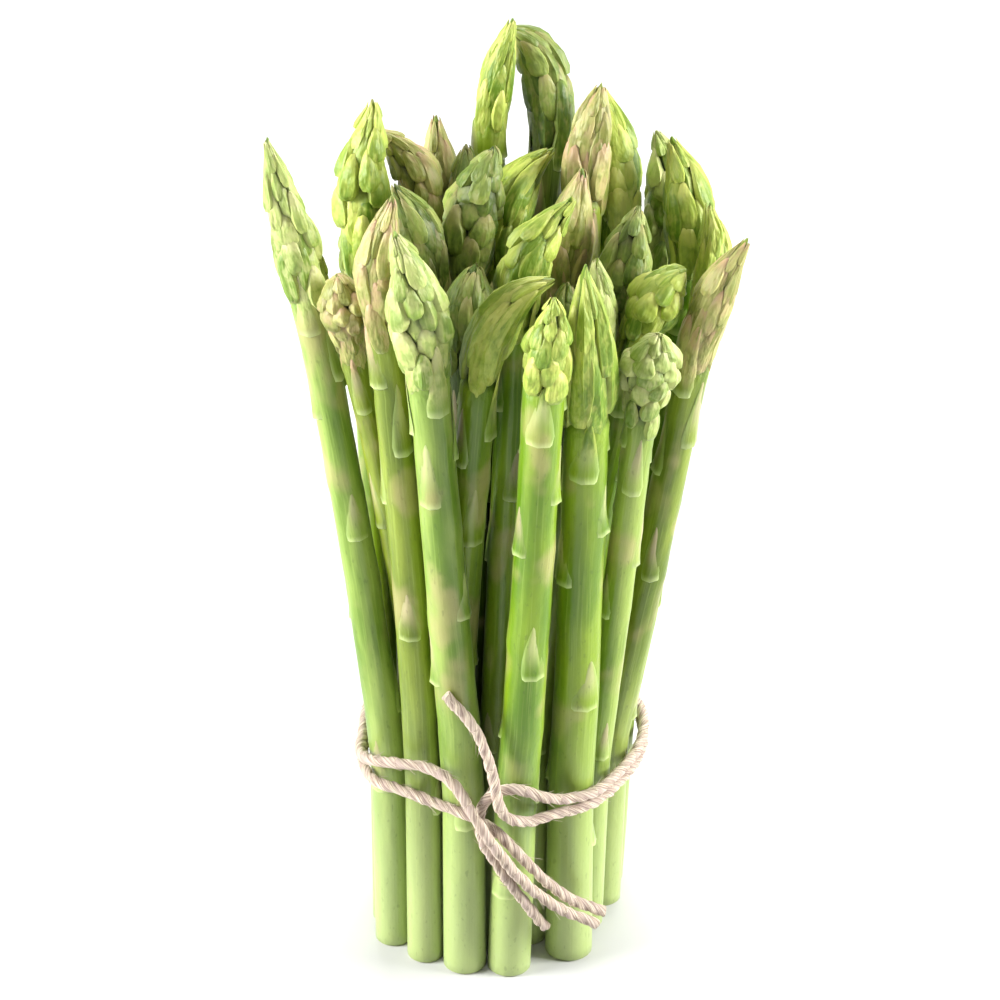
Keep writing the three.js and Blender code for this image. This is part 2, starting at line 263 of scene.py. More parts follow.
# %% [markdown]
# ## The scales
#
# A scale is a small pointed leaf, fleshy and rounded at its foot. A flat leaf with a Solidify
# modifier would stay thin all over. A ball with a few rings is a better start, because it is
# plump and closed, and its two poles already are the foot and the tip. Each ring is resized to
# the leaf's outline, the inner half is pressed into the outer one to make a shell, and a bend
# wraps the leaf round the core that it grows on. All scales are modelled on a core of the same
# radius; the bending of the whole spear later makes them thick or thin.

# %% Modelling a scale
RADIUS = 6 * MM               # half-width of a straight stalk
CORE = 4.2 * MM               # half-width of the core inside a head
LEAF_SIDES = 8
LEAF_RINGS = 7
SAME = 0.01 * MM              # places on a small leaf that are closer than this are the same


def leaf_shape(name, wide, deep, long, outline, depths, hollow):
    """A flat scale that stands on z = 0 and points up, made from what leaf is given."""
    bpy.ops.mesh.primitive_uv_sphere_add(
        segments=LEAF_SIDES, ring_count=LEAF_RINGS, radius=0.5,
        location=(0, 0, long / 2), scale=(wide, 2 * deep, long))
    scale = bpy.context.object
    scale.name = name
    bpy.ops.object.transform_apply(location=True, rotation=False, scale=True)
    bpy.ops.object.mode_set(mode="EDIT")
    for ring, (width, depth) in enumerate(zip(outline, depths), start=1):
        turn = math.pi * ring / LEAF_RINGS
        height = long / 2 * (1 - math.cos(turn))
        choose(scale, lambda co: abs(co.z - height) < SAME)
        bpy.ops.transform.resize(value=(width / math.sin(turn), depth / math.sin(turn), 1),
                                 center_override=(0, 0, height))
    choose(scale, lambda co: co.y > SAME)
    bpy.ops.transform.resize(value=(1, -hollow, 1), center_override=(0, 0, 0))
    bpy.ops.object.mode_set(mode="OBJECT")
    return scale


def leaf(name, wide, deep, long, outline, depths, hollow, lean, ground=CORE):
    """A scale that points up, wrapped round the Z axis on its -Y side.

    outline and depths give, ring by ring from the foot, the share of the full width and depth,
    hollow says how far the inner half is pressed out, lean tips the leaf outwards, and ground is
    the half-width of what it grows on."""
    scale = leaf_shape(name, wide, deep, long, outline, depths, hollow)
    place = places(scale)
    note(scale, "along_leaf", place[:, 2] / long)
    from_middle = np.abs(place[:, 0])
    rims = [max(from_middle[np.abs(place[:, 2] - z) < SAME].max(), SAME) for z in place[:, 2]]
    note(scale, "across_leaf", from_middle / rims)
    note(scale, "is_leaf", 1)

    wrap = scale.modifiers.new("wrap", "SIMPLE_DEFORM")
    wrap.deform_method = "BEND"
    wrap.deform_axis = "Z"
    wrap.angle = np.ptp(place[:, 0]) / ground
    finish_modifier(scale, wrap)
    scale.data.transform(Matrix.Rotation(lean, 4, "X"))
    scale.data.transform(Matrix.Translation((0, -ground, 0)))
    scale.hide_render = True
    return scale


# %% [markdown]
# ## Four kinds of leaf
#
# Plump buds make a knobby head, thin pointed blades a closed one, and long blades a smooth one.
# The leaf on the stalk is a flat triangle whose foot stands out as a small ledge. Each kind is
# modelled once, as a master, and copied by the hundred, so it has only a few dozen faces.

# %% Bud, blades and stalk leaf
bud = leaf(
    "bud", wide=6.8 * MM, deep=2.5 * MM, long=16 * MM,
    outline=(0.62, 0.93, 1.0, 0.86, 0.62, 0.34), depths=(0.7, 0.97, 1.0, 0.86, 0.62, 0.34),
    hollow=0.1, lean=math.radians(0.6))
blade = leaf(
    "blade", wide=6.6 * MM, deep=2.0 * MM, long=21 * MM,
    outline=(0.58, 0.86, 1.0, 0.92, 0.68, 0.36), depths=(0.7, 0.95, 1.0, 0.9, 0.7, 0.42),
    hollow=0.2, lean=math.radians(1.8))
long_blade = leaf(
    "long_blade", wide=8.0 * MM, deep=2.8 * MM, long=32 * MM,
    outline=(0.6, 0.88, 1.0, 0.95, 0.76, 0.45), depths=(0.7, 0.98, 1.0, 0.9, 0.7, 0.45),
    hollow=0.2, lean=math.radians(0.5))
SUNK_IN = 0.2 * MM            # so that no gap is left under a leaf on the stalk
stalk_leaf = leaf(
    "stalk_leaf", wide=9.2 * MM, deep=1.5 * MM, long=18 * MM,
    outline=(0.9, 1.0, 0.82, 0.58, 0.34, 0.14), depths=(1.0, 0.7, 0.4, 0.28, 0.2, 0.14),
    hollow=0.1, lean=0, ground=RADIUS - SUNK_IN)
masters = (bud, blade, long_blade, stalk_leaf)
for master in masters:
    spread = np.ptp(places(master), axis=0) / MM
    print(master.name, "measures", spread.round(1), "mm, with", len(master.data.polygons), "faces")

# %% [markdown]
# ## The stalk
#
# A spear is first modelled straight, because leaves are easy to set round a straight stalk. The
# stalk is a cylinder of one radius, cut into short lengths so that it can bend; above the neck
# it is drawn in to a core for the scales. The foot is where a knife went through: level, with a
# slightly rounded rim. A Bevel modifier would round that rim too, but an inset whose outer ring
# is lifted costs only one row of faces.

# %% Modelling a stalk
STALK_SIDES = 20
RING_SPACING = 3.5 * MM
DRAWN_IN = 1.02 * CORE / RADIUS             # the core, as a share of the stalk's radius
CORE_STARTS = 2 * MM                        # above the neck
TIP_OF_CORE = 0.4                           # its last ring, as a share of the core's radius
RIM_WIDE = 0.6 * MM
RIM_HIGH = 0.5 * MM


def stalk(name, length, neck):
    """A straight stalk of one radius, with a rounded rim at its foot and a core in its head."""
    bpy.ops.mesh.primitive_cylinder_add(
        vertices=STALK_SIDES, radius=RADIUS, depth=length, location=(0, 0, length / 2))
    stem = bpy.context.object
    stem.name = name
    bpy.ops.object.transform_apply(location=True, rotation=False, scale=False)
    bpy.ops.object.mode_set(mode="EDIT")
    cut_into_rings(stem, round(length / RING_SPACING))
    choose(stem, lambda co: co.z > neck + CORE_STARTS)
    bpy.ops.transform.resize(value=(DRAWN_IN, DRAWN_IN, 1), center_override=(0, 0, 0))
    choose(stem, lambda co: co.z > length - TINY)
    bpy.ops.transform.resize(value=(TIP_OF_CORE, TIP_OF_CORE, 1), center_override=(0, 0, 0))
    choose(stem, lambda co: co.z < TINY)
    bpy.ops.mesh.inset(thickness=RIM_WIDE)
    choose(stem, lambda co: co.z < TINY and co.xy.length > RADIUS - TINY)
    bpy.ops.transform.translate(value=(0, 0, RIM_HIGH))
    bpy.ops.object.mode_set(mode="OBJECT")
    for leaf_note in ("along_leaf", "across_leaf", "is_leaf", "leaf_tone"):
        note(stem, leaf_note, 0)
    return stem


# %% [markdown]
# ## Setting leaves on the stalk
#
# The growing tip of a plant sets each leaf a golden angle further round than the last, so no
# leaf stands straight above another and they close every gap. The same rule is used here, with
# small chance errors. An Array modifier could copy the scales in even rows, but rows are just
# what a real head doesn't have. In the head the scales get shorter and closer together towards
# the tip, and the last ones end at it or a little short of it.

# %% Scales of the head
GOLDEN_ANGLE = math.radians(137.508)
OFF_ANGLE = (-0.2, 0.2)       # radians that a scale may stand off its place in the spiral
ASKEW = (-0.14, 0.14)         # radians that a scale may tip sideways
UNEVEN = (0.82, 1.18)         # how much wider or longer than its neighbours a scale may be
SLIMMER = 0.15                # by this share the topmost scales are slimmer
SHORT_OF_TIP = (0.84, 1)      # share of the way to the tip that a scale may go at most
SUNK_OR_PROUD = (-0.7, 1)     # share of a style's "out" that a scale is moved in or out
TOP_SCALES = 4                # a few more, so that a short head is closed as well
LONG_HEAD = 45 * MM           # a head of this length has scales of full length


def grow(master, turn, height, wider, longer, out, skew, tone):
    """A copy of a scale, with its own mesh, set on the stalk at a turn and a height."""
    copy = master.copy()
    copy.data = master.data.copy()
    copy.hide_render = False
    bpy.context.collection.objects.link(copy)
    copy.data.transform(Matrix.Rotation(skew, 4, "Y") @ Matrix.Diagonal((wider, 1, longer, 1)))
    copy.data.transform(Matrix.Translation((0, -out, height)))
    copy.data.transform(Matrix.Rotation(turn, 4, "Z"))
    note(copy, "leaf_tone", tone)
    return copy


def head_scales(style, start, length, neck, chance):
    """Scales from below the neck to the tip, smaller and closer together towards the tip."""
    scales = []
    lowest = neck - style["below"]
    head = length - lowest
    count = round(style["a_mm"] * head / MM) + TOP_SCALES
    master_length = style["master"].dimensions.z
    full_length = style["long"] * (1 + head / LONG_HEAD) / 2
    for number in range(count):
        share = number / (count - 1)
        height = lowest + head * style["reach"] * share ** style["crowding"]
        long = full_length * (1 - style["shorter"] * share) * chance.uniform(*UNEVEN)
        scales.append(grow(
            style["master"], start + number * GOLDEN_ANGLE + chance.uniform(*OFF_ANGLE), height,
            wider=(1 - SLIMMER * share) * chance.uniform(*UNEVEN),
            longer=min(long, (length - height) * chance.uniform(*SHORT_OF_TIP)) / master_length,
            out=style["out"] * chance.uniform(*SUNK_OR_PROUD),
            skew=chance.uniform(*ASKEW) * (1 - share), tone=chance.random()))
    return scales


# %% [markdown]
# ## Four kinds of head
#
# Spears of one bundle are not alike: some heads are knobby with swelling buds, some closed and
# pointed, some curled and blunt, some smooth. One function with a table of styles makes them
# all, and a new kind is one more row.
#
# a_mm is the number of scales in a millimetre of head. The lowest scale starts below the neck by
# "below" and is as long as "long"; the topmost is shorter than that by the share "shorter", and
# starts at the share "reach" of the head. A crowding under 1 sets more of them high up. "out"
# says how far they may stand out.

# %% How the heads differ
KNOBBY = {"master": bud, "a_mm": 0.8, "below": 4 * MM, "crowding": 0.95, "reach": 0.9,
          "long": 13.5 * MM, "shorter": 0.3, "out": 1.5 * MM}
CLOSED = {"master": blade, "a_mm": 0.75, "below": 5 * MM, "crowding": 0.95, "reach": 0.86,
          "long": 19 * MM, "shorter": 0.4, "out": 1.2 * MM}
CURLED = {"master": bud, "a_mm": 1.05, "below": 4 * MM, "crowding": 0.75, "reach": 0.95,
          "long": 11 * MM, "shorter": 0.35, "out": 1.3 * MM}
SMOOTH = {"master": long_blade, "a_mm": 0.22, "below": 2 * MM, "crowding": 1.4, "reach": 0.72,
          "long": 31 * MM, "shorter": 0.3, "out": 0.8 * MM}
STYLES = {
    "spear_01": KNOBBY, "spear_02": CLOSED, "spear_03": KNOBBY, "spear_04": KNOBBY,
    "spear_05": SMOOTH, "spear_06": CURLED, "spear_07": CLOSED, "spear_08": CLOSED,
    "spear_09": CLOSED, "spear_10": KNOBBY, "spear_12": KNOBBY, "spear_13": SMOOTH,
    "spear_14": CURLED, "spear_16": KNOBBY, "spear_17": CLOSED, "spear_19": CURLED,
    "spear_20": KNOBBY, "spear_23": KNOBBY, "spear_27": CLOSED, "spear_33": CLOSED,
}
print(len(STYLES), "spears have a style of their own, the rest are knobby and closed in turn")

# %% [markdown]
# ## Leaves down the stalk
#
# Below the head the same leaves stand further and further apart, and end well above the cut
# foot. They follow the spiral on downwards, so the walk starts at the neck and goes down by gaps
# that grow by a third each time. Leaves near the head are the largest.

# %% Leaves of the stalk
UNDER_NECK = 9 * MM           # the first leaf's foot
BARE_FOOT = 26 * MM           # no leaf starts lower than this
FIRST_GAP = 5 * MM
WIDEST_GAP = 27 * MM
GAP_GROWTH = 1.32
UNEVEN_GAP = (0.85, 1.15)
LEAF_WIDTHS = (0.8, 1.0)      # of the master's
LEAF_LENGTHS = (0.75, 1.1)
LEAF_ASKEW = (-0.08, 0.08)
NEAR_HEAD = 70 * MM           # within this of the neck leaves are larger, by up to
WIDER_NEAR_HEAD = 0.15        # this share in width
LONGER_NEAR_HEAD = 0.4        # and this share in length


def stalk_leaves(start, neck, chance):
    """Leaves down the stalk, further and further apart, and smaller."""
    leaves = []
    gap = FIRST_GAP
    height = neck - UNDER_NECK
    turn = start
    while height > BARE_FOOT:
        turn -= GOLDEN_ANGLE
        near_head = max(0, 1 - (neck - height) / NEAR_HEAD)
        leaves.append(grow(
            stalk_leaf, turn, height, out=0,
            wider=chance.uniform(*LEAF_WIDTHS) + WIDER_NEAR_HEAD * near_head,
            longer=chance.uniform(*LEAF_LENGTHS) + LONGER_NEAR_HEAD * near_head,
            skew=chance.uniform(*LEAF_ASKEW), tone=chance.random()))
        gap = min(gap * GAP_GROWTH, WIDEST_GAP)
        height -= gap * chance.uniform(*UNEVEN_GAP)
    return leaves


# %% [markdown]
# ## Bending a spear to its place
#
# A real spear leans, bows and tapers. An armature could bend the straight one, but it would need
# bones and weights. The Curve modifier lays a straight thing along a curve, and also scales it
# by the curve's radius at each point. So one curve, drawn through the centre line that was read
# from the CAD solid and as thick as it is there, gives the spear its lean, its bow and its taper
# in one step, and the scales narrow with the head, as they do in nature.

# %% Bending along a guide
def guide(line, widths):
    """A smooth curve along a line of points, whose radius follows the widths."""
    path = bpy.data.curves.new("guide", "CURVE")
    path.dimensions = "3D"
    path.use_radius = True
    spline = path.splines.new("NURBS")
    spline.points.add(len(line) - 1)
    for point, place, width in zip(spline.points, line, widths):
        point.co = (*place, 1)
        point.radius = width
    spline.order_u = 3
    spline.use_endpoint_u = True
    spline.resolution_u = 4
    curve = bpy.data.objects.new("guide", path)
    bpy.context.collection.objects.link(curve)
    return curve


def lay_along(obj, curve):
    """Bend obj, which stands straight on the Z axis, along a guide, and clear the guide away."""
    bend = obj.modifiers.new("bend", "CURVE")
    bend.object = curve
    bend.deform_axis = "POS_Z"
    finish_modifier(obj, bend)
    bpy.data.objects.remove(curve)


# %% [markdown]
# ## The whole spear
#
# Stalk and scales are joined into one object, because a spear is one grown piece. The notes that
# the skin needs are written while it is still straight: how far up the stalk and up the head a
# vertex lies, how far it stands out of the gaps between the scales, and whether it is on the cut
# end. Smoothing by angle keeps the rims of the scales crisp and everything else round.

# %% Growing all the spears
GAP_BOTTOM = 0.7              # share of the stalk's radius: what lies deeper is wholly in a gap
GAP_DEPTH = 0.32              # and what stands this much further out is wholly out of it
CRISP_RIM = math.radians(55)                # edges that turn by more than this stay crisp


def join(body, parts):
    """Make the parts one with the body."""
    only(body)
    for part in parts:
        part.select_set(True)
    bpy.ops.object.join()


def note_for_skin(body, length, neck, tone):
    """Write what the skin needs to know at each vertex of a straight spear."""
    straight = places(body)
    note_straight_place(body)
    note(body, "up_stalk", straight[:, 2] / length)
    note(body, "up_head", (straight[:, 2] - neck) / (length - neck))
    out = np.hypot(straight[:, 0], straight[:, 1]) / RADIUS
    note(body, "out_of_gap", np.clip((out - GAP_BOTTOM) / GAP_DEPTH, 0, 1))
    note(body, "cut_end", (straight[:, 2] < TINY) * 1.0)
    note(body, "spear_tone", tone)


def spear(node, style, seed):
    """The whole spear that stands for a CAD node."""
    form = spears[node]
    chance = random.Random(seed)
    length, neck = form["length"], form["neck"]
    start = chance.uniform(0, 2 * math.pi)
    body = stalk(node.replace("spear", "asparagus"), length, neck)
    join(body, head_scales(style, start, length, neck, chance) + stalk_leaves(start, neck, chance))
    note_for_skin(body, length, neck, chance.random())
    lay_along(body, guide(form["line"], form["widths"] / RADIUS))
    only(body)
    bpy.ops.object.shade_smooth_by_angle(angle=CRISP_RIM)
    return body


bodies = {}
for number, node in enumerate(spear_nodes):
    style = STYLES.get(node, (KNOBBY, CLOSED)[number % 2])
    bodies[node] = spear(node, style, seed=number)
print(len(bodies), "spears with", sum(len(body.data.polygons) for body in bodies.values()), "faces")
for master in masters:
    bpy.data.objects.remove(master)

# %% [markdown]
# ## Writing a material
#
# A material is a graph of nodes. By hand it is drawn in the node editor; in a script each node
# takes several lines, and the graph is soon hard to follow. This small class turns a node into
# one short call whose result goes into the next, so a recipe reads from top to bottom.

# %% A short way to write a material
class Recipe:
    """A material whose nodes are written as a chain of short calls."""

    def __init__(self, name):
        self.material = bpy.data.materials.new(name)
        self.material.use_nodes = True
        self.tree = self.material.node_tree
        self.shader = self.tree.nodes["Principled BSDF"]

    def put(self, socket, value):
        """Link a value that comes from another node, or set one that is a plain number."""
        if isinstance(value, bpy.types.NodeSocket):
            self.tree.links.new(value, socket)
        else:
            socket.default_value = value

    def add(self, kind, output, inputs, **settings):
        """A new node with its inputs and settings filled in; what comes back is its output."""
        node = self.tree.nodes.new("ShaderNode" + kind)
        for name, value in settings.items():
            setattr(node, name, value)
        for name, value in inputs.items():
            self.put(node.inputs[name], value)
        return node.outputs[output]

    def noted(self, name, output="Fac"):
        """A note of the mesh."""
        return self.add("Attribute", output, {}, attribute_name=name)

    def noise(self, place, stretch, detail=2.0):
        """Even noise, drawn out along each axis by the stretch, about that many lumps a metre."""
        laid_out = self.add("VectorMath", 0, {0: place, 1: stretch}, operation="MULTIPLY")
        return self.add("TexNoise", 0, {"Vector": laid_out, "Scale": 1.0, "Detail": detail})

    def ramp(self, value, none, full, most=1.0):
        """0 up to where the value is none, most from where it is full, and smooth between."""
        inputs = {"Value": value, "From Min": none, "From Max": full, "To Max": most}
        return self.add("MapRange", 0, inputs, interpolation_type="SMOOTHSTEP")

    def times(self, a, b):
        """The product of two numbers."""
        return self.add("Math", 0, {0: a, 1: b}, operation="MULTIPLY")

    def plus(self, low, more, value):
        """The number low, and as much of more as the value says."""
        return self.add("Math", 0, {0: value, 1: more, 2: low}, operation="MULTIPLY_ADD")

    def mix(self, share, a, b):
        """Two colours mixed, with a share of the second."""
        return self.add("Mix", 2, {0: share, 6: a, 7: b}, data_type="RGBA")

    def bump(self, height, strength, distance, **under):
        """Relief from a height, on top of another one if Normal is given."""
        inputs = {"Height": height, "Strength": strength, "Distance": distance, **under}
        return self.add("Bump", 0, inputs)

    def shine(self, **values):
        """Fill in the shader's own sockets."""
        for name, value in values.items():
            self.put(self.shader.inputs[name.replace("_", " ")], value)


def colour(red, green, blue):
    """A screen colour, 0 to 255, as the linear numbers that a shader wants."""
    def linear(level):
        level /= 255
        return level / 12.92 if level <= 0.04045 else ((level + 0.055) / 1.055) ** 2.4
    return (linear(red), linear(green), linear(blue), 1)


# %% [markdown]
# ## Patterns in the skin
#
# Up close the skin has fine pale streaks along the stalk, patches of waxy bloom, a few specks
# and here and there a blush. None of it repeats, so all of it is noise, drawn out along the
# stalk. Image textures would show more, but they need unwrapping and repeat. The noise is laid
# out by the straight place, and shifted by an amount of each spear's own, because otherwise the
# patches would sit at the same height on every stalk.

# %% Patterns and notes
OWN_PATTERN = (7.0, 3.0, 11.0)      # metres that the noise is shifted by, times the spear's tone
NOTES = ("is_leaf", "along_leaf", "across_leaf", "leaf_tone", "up_stalk", "up_head",
         "out_of_gap", "cut_end", "spear_tone")
NOISES = {                          # lumps a metre across (x and y) and along, and the detail
    "patches": ((110, 110, 22), 3), "blotches": ((70, 70, 50), 2), "streaks": ((1500, 1500, 30), 2),
    "lumps": ((420, 420, 260), 2), "specks": ((900, 900, 350), 2)}


def patterns(recipe):
    """All that the skin's colours are laid out by, under its name."""
    seen = {name: recipe.noted(name) for name in NOTES}
    straight_place = recipe.noted("straight_place", "Vector")
    place = recipe.add("VectorMath", 0, {0: seen["spear_tone"], 1: OWN_PATTERN, 2: straight_place},
                       operation="MULTIPLY_ADD")
    for name, (stretch, detail) in NOISES.items():
        seen[name] = recipe.noise(place, stretch, detail)
    seen["in_head"] = recipe.ramp(seen["up_head"], none=-0.16, full=0.02)
    return SimpleNamespace(**seen)


# %% [markdown]
# ## Colour of the stalk
#
# The stalk is green, lighter where the bloom lies, and paler towards the cut end: partly its own
# base, which grew in the ground, and partly painted light from the floor's bounce. Each layer of
# colour is mixed over the last one, as glazes are in painting. A colour ramp along the height
# alone would be simpler, but would make all stalks look dipped.

# %% Stalk
PALE_STREAK = colour(190, 212, 110)
YELLOWED = colour(140, 146, 30)
BLUSH = colour(178, 164, 112)
PALE_FOOT_AND_BOUNCE_LIGHT = colour(172, 188, 122)


def stalk_colour(recipe, seen, green, light):
    """Patches, streaks, some yellow on the older spears, the blush and the pale foot."""
    mixed = recipe.mix(recipe.ramp(seen.patches, none=0.35, full=0.65), green, light)
    streak = recipe.ramp(seen.streaks, none=0.5, full=0.75, most=0.2)
    mixed = recipe.mix(streak, mixed, PALE_STREAK)
    mixed = recipe.mix(recipe.ramp(seen.spear_tone, none=0.2, full=1.0, most=0.2), mixed, YELLOWED)
    blush = recipe.times(recipe.ramp(seen.blotches, none=0.53, full=0.7, most=0.55),
                         recipe.ramp(seen.up_stalk, none=0.15, full=0.5))
    mixed = recipe.mix(blush, mixed, BLUSH)
    # pale foot: partly the stalk's own base colour, partly painted light bounced from the floor
    foot = recipe.ramp(seen.up_stalk, none=0.45, full=0.0, most=0.85)
    return recipe.mix(foot, mixed, PALE_FOOT_AND_BOUNCE_LIGHT)


# %% [markdown]
# ## Colour of the leaves on the stalk
#
# These leaves are thin and partly dry: the stalk's own green shines through, the margin is pale,
# the middle is cream or brownish, and the foot has a light line where it stands out as a ledge:
# partly its own pale tissue, partly a highlight painted where the ledge would catch the light.
# A second material would leave a hard change of colour, so this one starts from the stalk's.

# %% Stalk leaves
LEAF_MARGIN = colour(180, 204, 124)
LEAF_CREAM = colour(196, 206, 140)
LEAF_BROWN = colour(184, 158, 136)
LEAF_LEDGE_HIGHLIGHT = colour(208, 222, 154)


def stalk_leaf_colour(recipe, seen, stem):
    """The stalk's colour, pale at the margin, tinted in the upper middle, light at the foot."""
    margin = recipe.ramp(seen.across_leaf, none=0.5, full=1.0, most=0.35)
    mixed = recipe.mix(margin, stem, LEAF_MARGIN)
    upper_middle = recipe.times(recipe.ramp(seen.across_leaf, none=1.0, full=0.3),
                                recipe.ramp(seen.along_leaf, none=0.15, full=0.7))
    tint = recipe.mix(seen.leaf_tone, LEAF_CREAM, LEAF_BROWN)
    mixed = recipe.mix(recipe.times(upper_middle, 0.6), mixed, tint)
    # painted highlight along the foot's ledge, over the foot's own paler colour
    ledge = recipe.ramp(seen.along_leaf, none=0.16, full=0.02, most=0.6)
    return recipe.mix(ledge, mixed, LEAF_LEDGE_HIGHLIGHT)


# %% [markdown]
# ## Colour of the scales
#
# A scale is green in the middle, pale at its margins and tinged at its tip, and no two are quite
# alike. The tone is a chance number noted on each scale as it was set, so that one material can
# tell them apart. With a single flat green the head would look cast in one piece.

# %% Scales
def scale_colour(recipe, seen, stalk_green, green, light, tip):
    """The colour of a scale in the head."""
    mixed = recipe.mix(recipe.ramp(seen.leaf_tone, none=0.1, full=0.9, most=0.55), green, light)
    mixed = recipe.mix(recipe.ramp(seen.streaks, none=0.45, full=0.7, most=0.3), mixed, light)
    mixed = recipe.mix(recipe.ramp(seen.lumps, none=0.5, full=0.65, most=0.4), mixed, stalk_green)
    mixed = recipe.mix(recipe.ramp(seen.lumps, none=0.5, full=0.35, most=0.35), mixed, tip)
    margin = recipe.ramp(seen.across_leaf, none=0.55, full=0.98, most=0.75)
    mixed = recipe.mix(margin, mixed, light)
    mixed = recipe.mix(recipe.ramp(seen.up_head, none=0.3, full=1.0, most=0.25), mixed, light)
    tinged = recipe.times(recipe.ramp(seen.along_leaf, none=0.5, full=1.0),
                          recipe.ramp(seen.leaf_tone, none=0.0, full=0.7, most=0.9))
    return recipe.mix(tinged, mixed, tip)


# %% [markdown]
# ## Gaps, specks and the cut end
#
# Light hardly reaches the gaps between the scales, and a render with few bounces leaves them too
# even. The note of how far a vertex stands out darkens them, except at the very tip, where the
# scales stand free. The cut end shows the pale inside of the stalk with its darker strands.

# %% Gaps, specks and cut end
CUT_PITH = colour(222, 224, 168)
CUT_STRANDS = colour(176, 186, 110)


def shaded(recipe, seen, mixed, gap):
    """The skin's colour with its gaps and specks darkened, and the cut end's in its place."""
    under_tip = recipe.ramp(seen.up_head, none=0.97, full=0.75)
    deep = recipe.ramp(seen.out_of_gap, none=1.0, full=0.0, most=0.95)
    mixed = recipe.mix(recipe.times(recipe.times(seen.in_head, under_tip), deep), mixed, gap)
    mixed = recipe.mix(recipe.ramp(seen.specks, none=0.62, full=0.75, most=0.25), mixed, gap)
    cut = recipe.mix(recipe.ramp(seen.specks, none=0.5, full=0.6), CUT_PITH, CUT_STRANDS)
    return recipe.mix(seen.cut_end, mixed, cut)


# %% [markdown]
# ## The whole skin
#
# The stalk is smooth and waxy, the head duller and a little crumpled, so roughness and relief
# both grow into the head. A little light goes into the flesh and comes out again, and a thin
# sheen stands for the bloom. A clear coat was the other choice, but it makes vegetables look
# wet. The recipe is one, with four sets of colours, because the spears differ in how green they
# are and how brown their tips have grown.

# %% Skins of the spears
def skin(name, stalk_green, stalk_light, scale_green, scale_light, tip, gap):
    """The material of one family of spears."""
    recipe = Recipe(name)
    seen = patterns(recipe)
    stem = stalk_colour(recipe, seen, stalk_green, stalk_light)
    on_stalk = stalk_leaf_colour(recipe, seen, stem)
    on_head = scale_colour(recipe, seen, stalk_green, scale_green, scale_light, tip)
    leaves = recipe.mix(seen.in_head, on_stalk, on_head)
    ridges = recipe.bump(seen.streaks, strength=0.2, distance=0.3 * MM)
    crumple = recipe.plus(0.15, 0.6, seen.in_head)
    recipe.shine(
        Base_Color=shaded(recipe, seen, recipe.mix(seen.is_leaf, stem, leaves), gap),
        Roughness=recipe.plus(0.34, 0.2, seen.in_head),
        Subsurface_Weight=0.12, Subsurface_Scale=1.2 * MM, Subsurface_Radius=(0.7, 1.0, 0.3),
        Sheen_Weight=0.12, Sheen_Roughness=0.3, Sheen_Tint=colour(230, 240, 200),
        Normal=recipe.bump(seen.lumps, strength=crumple, distance=1.2 * MM, Normal=ridges))
    return recipe.material


skins = {
    "spear_bright": skin(
        "asparagus_bright", stalk_green=colour(80, 118, 0), stalk_light=colour(122, 152, 24),
        scale_green=colour(90, 124, 6), scale_light=colour(194, 206, 92),
        tip=colour(196, 198, 104), gap=colour(34, 58, 2)),
    "spear_pale": skin(
        "asparagus_pale", stalk_green=colour(92, 126, 26), stalk_light=colour(144, 168, 76),
        scale_green=colour(104, 132, 34), scale_light=colour(200, 208, 128),
        tip=colour(196, 194, 136), gap=colour(38, 60, 8)),
    "spear_dark": skin(
        "asparagus_dark", stalk_green=colour(44, 68, 2), stalk_light=colour(76, 100, 14),
        scale_green=colour(74, 102, 18), scale_light=colour(158, 172, 84),
        tip=colour(160, 150, 96), gap=colour(22, 40, 2)),
    "spear_blush": skin(
        "asparagus_blush", stalk_green=colour(88, 110, 16), stalk_light=colour(128, 146, 42),
        scale_green=colour(112, 118, 38), scale_light=colour(200, 194, 124),
        tip=colour(182, 146, 116), gap=colour(46, 48, 10)),
}
for kind, material in skins.items():
    print(kind, "is made of", len(material.node_tree.nodes), "nodes")

# %% [markdown]
# ## Dressing the spears
#
# The CAD record says which of the four skins each spear has, so nothing is decided again here.
# Each modelled spear takes the place of its CAD node.

# %% Skins on the spears
slots = {part["node"]: part["material_slot"] for part in frame["record"]["subparts"]}
for node, body in bodies.items():
    body.data.materials.append(skins[slots[node]])
    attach(body, "root")
    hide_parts(node)
for kind in skins:
    print(sum(slots[node] == kind for node in bodies), "spears have the skin", kind)

# %% [markdown]
# ## The way of the twine
#
# Two lengths of natural twine are laid together round the bundle and crossed in a loose half
# knot. A physics run could tie them, but it would never end twice in the same place. So the
# routes are the CAD model's own, point by point from one free end to the other: up through the
# knot, once round the bundle and down out of the knot.

